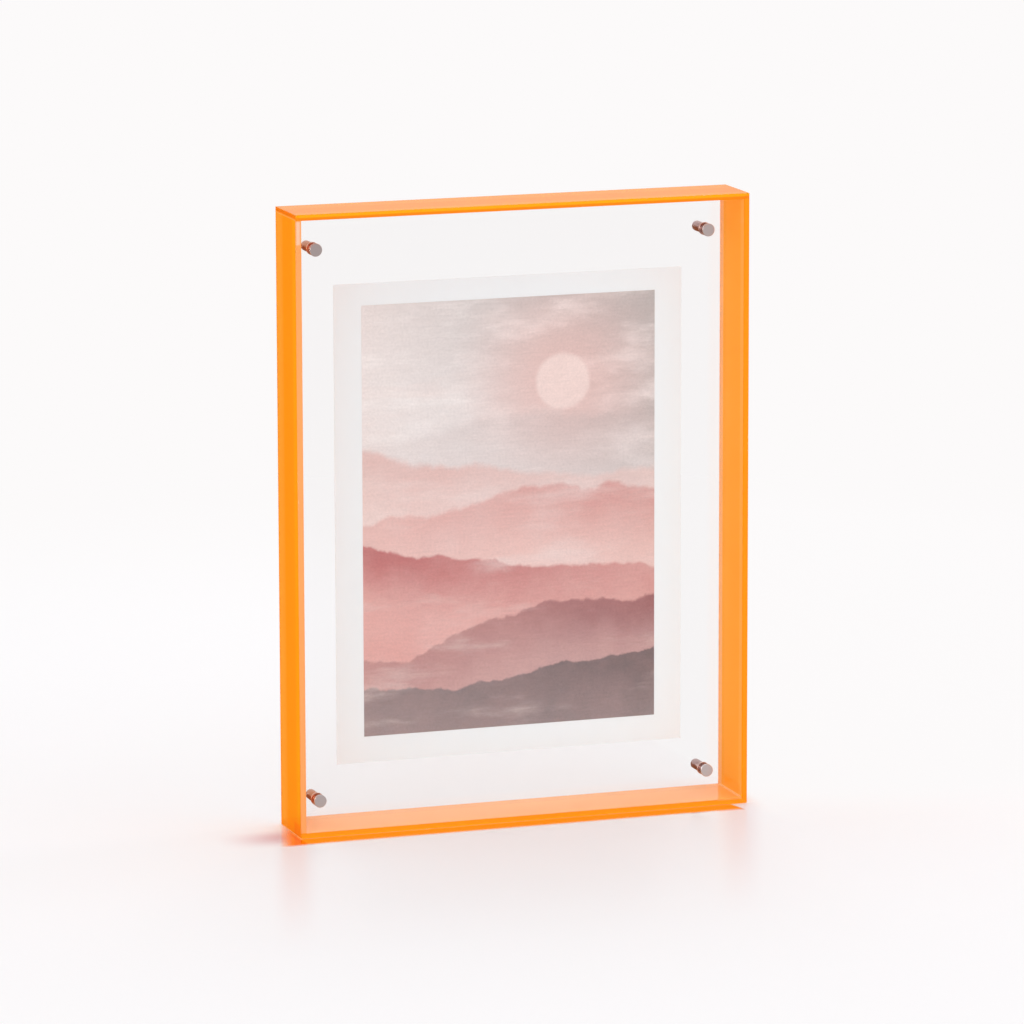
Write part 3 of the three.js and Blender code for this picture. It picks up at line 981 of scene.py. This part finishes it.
def satin_floor(backdrop):
    """Pale satin floor: matt white with a weak gloss, polished at the frame's foot, lost in the backdrop."""
    material, tree = new_material("Pale_satin_floor")
    _, across, depth, _ = object_axes(tree)
    in_front = -HALF_DEPTH - depth
    beside = -HALF_WIDTH - across
    # How far a place lies outside the footprint of the frame, and from its middle.
    out_x = (abs(across) - HALF_WIDTH).at_least(0.0)
    out_y = (abs(depth) - HALF_DEPTH).at_least(0.0)
    outside = (out_x ** 2.0 + out_y ** 2.0) ** 0.5
    far = (across ** 2.0 + depth ** 2.0) ** 0.5
    polish = floor_polish(across, in_front, beside)
    satin = 1.0 - outside.rise(20 * MM, 330 * MM)
    share = polish.at_least(satin * 0.13)
    blur = add(tree, "MapRange", outside, 2 * MM, 60 * MM, 0.08, 0.25)
    # Painted shadow and reflection, in pink, on the matt floor.
    painted_light = floor_painted_light(across, in_front, beside)
    matt = add(tree, "Mix", painted_light, linear("#FDFAFB"), linear("#E0B2B6"), settings=LAY)
    # Painted reflection: the polish mirrors with a warm tint, which deepens the orange that it mirrors.
    tint = add(tree, "Mix", polish, linear("#FBF7F7"), linear("#FDF4E6"), settings=LAY)
    # Painted reflection: beside the left face, an orange tint in what the polish mirrors stands in for orange
    # light through the plate.
    coloured = polish * beside.rise(-0.5 * MM, 0.0)
    tint = add(tree, "Mix", coloured, tint, linear("#FFD08C"), settings=LAY)
    gloss = add(tree, "BsdfAnisotropic", Color=tint, Roughness=blur)
    lit = add(tree, "MixShader", share, add(tree, "BsdfDiffuse", Color=matt), gloss)
    # The floor fades into the backdrop far out. On the right, a painted pool of light makes it as bright as
    # the backdrop over the frame's shade.
    painted_bright_right = (across - HALF_WIDTH).rise(-2 * MM, 14 * MM) * 0.9 * in_front.rise(90 * MM, -30 * MM)
    fade = far.rise(0.45, 1.3).at_least(painted_bright_right)
    bright = add(tree, "Emission", Color=backdrop, Strength=1.0)
    faded = add(tree, "MixShader", fade, lit, bright)
    # Mirrors see past the floor, and clear pieces see it as bright as the backdrop.
    glossy = add(tree, "LightPath", output="Is Glossy Ray")
    mirrored = add(tree, "MixShader", glossy, faded, add(tree, "BsdfTransparent"))
    surface = add(tree, "MixShader", glossy.other("Is Transmission Ray"), mirrored, bright)
    add(tree, "OutputMaterial", Surface=surface)
    return material


def studio_floor(settings):
    """A square floor, a hair below the foot of the frame."""
    reach, level = settings.floor_radius, -0.1 * MM
    corners = [(-reach, -reach, level), (reach, -reach, level), (reach, reach, level), (-reach, reach, level)]
    floor = new_piece("studio_floor", corners, [[0, 1, 2, 3]])
    floor.data.materials.append(satin_floor(tuple(settings.backdrop_colour)))


def studio_world(settings):
    """White to the camera and through clear pieces, a soft fill for the rest, and cards for metal."""
    world = bpy.data.worlds.new("Studio")
    bpy.context.scene.world = world
    world.use_nodes = True
    tree = world.node_tree
    tree.nodes.clear()
    way = add(tree, "SeparateXYZ", add(tree, "TexCoord", output="Generated"))
    # Mirrors see white above, a warm brown card low at the back and sides, and a pale grey one in front.
    low = 1.0 - way.other("Z").rise(-0.05, 0.15)
    in_front = 1.0 - way.other("Y").rise(-0.8, -0.3)
    mirrored = add(tree, "Mix", low, linear("#F7F4F5"), linear("#B27450"), settings=LAY)
    mirrored = add(tree, "Mix", in_front, mirrored, linear("#DAD3D3"), settings=LAY)
    fill = (0.90, 0.915, 0.92, 1.0)
    by_camera = add(tree, "LightPath", output="Is Camera Ray")
    colour = add(tree, "Mix", by_camera.other("Is Glossy Ray"), fill, mirrored, settings=LAY)
    seen = by_camera.at_least(by_camera.other("Is Transmission Ray"))
    colour = add(tree, "Mix", seen, colour, settings.backdrop_colour, settings=LAY)
    add(tree, "OutputWorld", Surface=add(tree, "Background", Color=colour, Strength=1.0))


# The softboxes point at a place near the middle of the frame.
AIM = Vector((0, 0, 0.2))

LAMPS = (
    # In front, low: lights the card and the print.
    dict(name="Front_softbox", place=(-1.3, -3.0, 0.5), size=1.0, watts=21.0),
    # On the right, low: leaves the long soft shadow on the left.
    dict(name="Right_softbox", place=(2.4, 0.25, 0.75), size=0.7, watts=6.0),
    # Behind and above: leaves the soft shadow in front.
    dict(name="Back_softbox", place=(0.6, 1.6, 2.0), size=1.2, watts=5.0),
)


def soft_lamp(name, place, size, watts):
    """One round softbox."""
    light = bpy.data.lights.new(name, "AREA")
    light.shape = "DISK"
    light.size = size
    light.energy = watts
    lamp = bpy.data.objects.new(name, light)
    lamp.location = place
    lamp.visible_camera = False
    lamp.rotation_euler = (AIM - lamp.location).to_track_quat("-Z", "Y").to_euler()
    bpy.context.scene.collection.objects.link(lamp)


# Where the photograph was taken from, from a fit to the frame's corners: place in metres, turn to the
# right, tilt down and roll in degrees.
CAMERA_PLACE = (-1.3624, -4.0111, 1.0103)
CAMERA_TURN = (18.734, 10.690, -0.150)


def studio_camera(settings):
    """The camera at the photograph's viewing angle."""
    camera = bpy.data.cameras.new("Camera")
    camera.lens = settings.lens
    camera.sensor_width = 36
    camera.clip_end = 50
    seat = bpy.data.objects.new("Camera", camera)
    yaw, pitch, roll = np.radians(CAMERA_TURN)
    turn = Matrix.Rotation(-yaw, 4, "Z") @ Matrix.Rotation(np.pi / 2 - pitch, 4, "X")
    seat.matrix_world = Matrix.Translation(CAMERA_PLACE) @ turn @ Matrix.Rotation(roll, 4, "Z")
    bpy.context.scene.collection.objects.link(seat)
    bpy.context.scene.camera = seat


# Operators


class PHOTOFRAME_OT_stage(bpy.types.Operator):
    """Make the pale floor, the soft light and the camera"""

    bl_idname = "photo_frame.stage"
    bl_label = "Stage"

    def execute(self, context):
        settings = context.scene.photo_frame_stage
        studio_floor(settings)
        studio_world(settings)
        for lamp in LAMPS:
            soft_lamp(**lamp)
        studio_camera(settings)
        scene = context.scene
        scene.view_settings.view_transform = "Standard"
        # Many clear surfaces lie one behind the other, so a ray passes more of them than usual.
        scene.cycles.transparent_max_bounces = 32
        scene.cycles.transmission_bounces = 16
        scene.cycles.max_bounces = 16
        return {"FINISHED"}


class PHOTOFRAME_OT_plates(bpy.types.Operator):
    """Make the four orange plates, mitred at the corners"""

    bl_idname = "photo_frame.plates"
    bl_label = "Orange Plates"

    def execute(self, context):
        settings = context.scene.photo_frame_plates
        body = orange_acrylic(settings)
        joint = acrylic_joint()
        inward = {
            "side_top": (0, 0, -1),
            "side_bottom": (0, 0, 1),
            "side_left": (1, 0, 0),
            "side_right": (-1, 0, 0),
        }
        for node, direction in inward.items():
            plate = mitred_plate("acrylic_" + node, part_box(node), direction, settings)
            dress(plate, "root", node, "orange_acrylic", body, joint)
        return {"FINISHED"}


class PHOTOFRAME_OT_panes(bpy.types.Operator):
    """Make the clear panes with their eased edges and standoff holes"""

    bl_idname = "photo_frame.panes"
    bl_label = "Clear Panes"

    def execute(self, context):
        settings = context.scene.photo_frame_panes
        material = clear_acrylic(settings)
        holes = [standoff_centre(corner) for corner in CORNERS]
        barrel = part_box("barrel_top_left")
        clearance = 0.1 * MM
        hole_radius = (barrel[1].x - barrel[0].x) / 2 + clearance
        # A film of air, too thin to see, keeps the front face off the washers or the card that touch it.
        air_film = 0.05 * MM
        for node, body in (("front_pane", "front_pane"), ("rear_pane", "root")):
            low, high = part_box(node)
            low.y += air_film
            pane = drilled_pane("clear_" + node, (low, high), holes, hole_radius, settings)
            sharpen(pane)
            dress(pane, body, node, "clear_acrylic", material)
        return {"FINISHED"}


class PHOTOFRAME_OT_print(bpy.types.Operator):
    """Finish the mounting card and the print"""

    bl_idname = "photo_frame.print"
    bl_label = "Print and Card"

    def execute(self, context):
        settings = context.scene.photo_frame_print
        finishes = {"mount_card": museum_card(settings), "photo_print": art_print(settings)}
        for node, material in finishes.items():
            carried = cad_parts[node]
            carried.data.materials.clear()
            carried.data.materials.append(material)
        return {"FINISHED"}


class PHOTOFRAME_OT_standoffs(bpy.types.Operator):
    """Make the four steel standoffs: cap, ring, washer, stud and barrel"""

    bl_idname = "photo_frame.standoffs"
    bl_label = "Steel Standoffs"

    def execute(self, context):
        settings = context.scene.photo_frame_standoffs
        steel = satin_steel(settings)
        thread = threaded_steel()
        rubber = black_rubber()
        for corner in CORNERS:
            centre = standoff_centre(corner)
            cap, stud = "cap_" + corner, "stud_" + corner
            # Kind, body, profile, material, slot, and whether the profile closes on itself.
            turned = (
                ("cap", cap, cap_profile, steel, "satin_steel", False),
                ("ring", "front_pane", ring_profile, steel, "satin_steel", True),
                ("pad", "front_pane", pad_profile, rubber, "soft_pad", True),
                ("barrel", "root", barrel_profile, steel, "satin_steel", True),
            )
            for kind, body, profile, material, slot, closed in turned:
                node = f"{kind}_{corner}"
                points = profile(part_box(node))
                piece = turned_piece("turned_" + node, points, centre, settings.round_steps, closed)
                dress(piece, body, node, slot, material)
            piece = threaded_stud("threaded_" + stud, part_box(stud), centre, settings)
            dress(piece, stud, stud, "threaded_steel", thread)
        return {"FINISHED"}


class PHOTOFRAME_PT_panel(bpy.types.Panel):
    """The settings and the operators, in the sidebar"""

    bl_label = "Photo Frame"
    bl_space_type = "VIEW_3D"
    bl_region_type = "UI"
    bl_category = "Photo Frame"

    def draw(self, context):
        layout = self.layout
        for name, group in SETTINGS:
            box = layout.box()
            for key in group.__annotations__:
                box.prop(getattr(context.scene, name), key)
        for operator in OPERATORS:
            layout.operator(operator.bl_idname)


OPERATORS = (
    PHOTOFRAME_OT_stage,
    PHOTOFRAME_OT_plates,
    PHOTOFRAME_OT_panes,
    PHOTOFRAME_OT_print,
    PHOTOFRAME_OT_standoffs,
)


def register():
    for name, group in SETTINGS:
        bpy.utils.register_class(group)
        setattr(bpy.types.Scene, name, PointerProperty(type=group))
    for operator in OPERATORS:
        bpy.utils.register_class(operator)
    bpy.utils.register_class(PHOTOFRAME_PT_panel)


def unregister():
    bpy.utils.unregister_class(PHOTOFRAME_PT_panel)
    for operator in reversed(OPERATORS):
        bpy.utils.unregister_class(operator)
    for name, group in reversed(SETTINGS):
        delattr(bpy.types.Scene, name)
        bpy.utils.unregister_class(group)


def main():
    register()
    bpy.ops.photo_frame.stage()
    bpy.ops.photo_frame.plates()
    bpy.ops.photo_frame.panes()
    bpy.ops.photo_frame.print()
    bpy.ops.photo_frame.standoffs()
    bpy.context.view_layer.update()


if __name__ == "__main__":
    main()
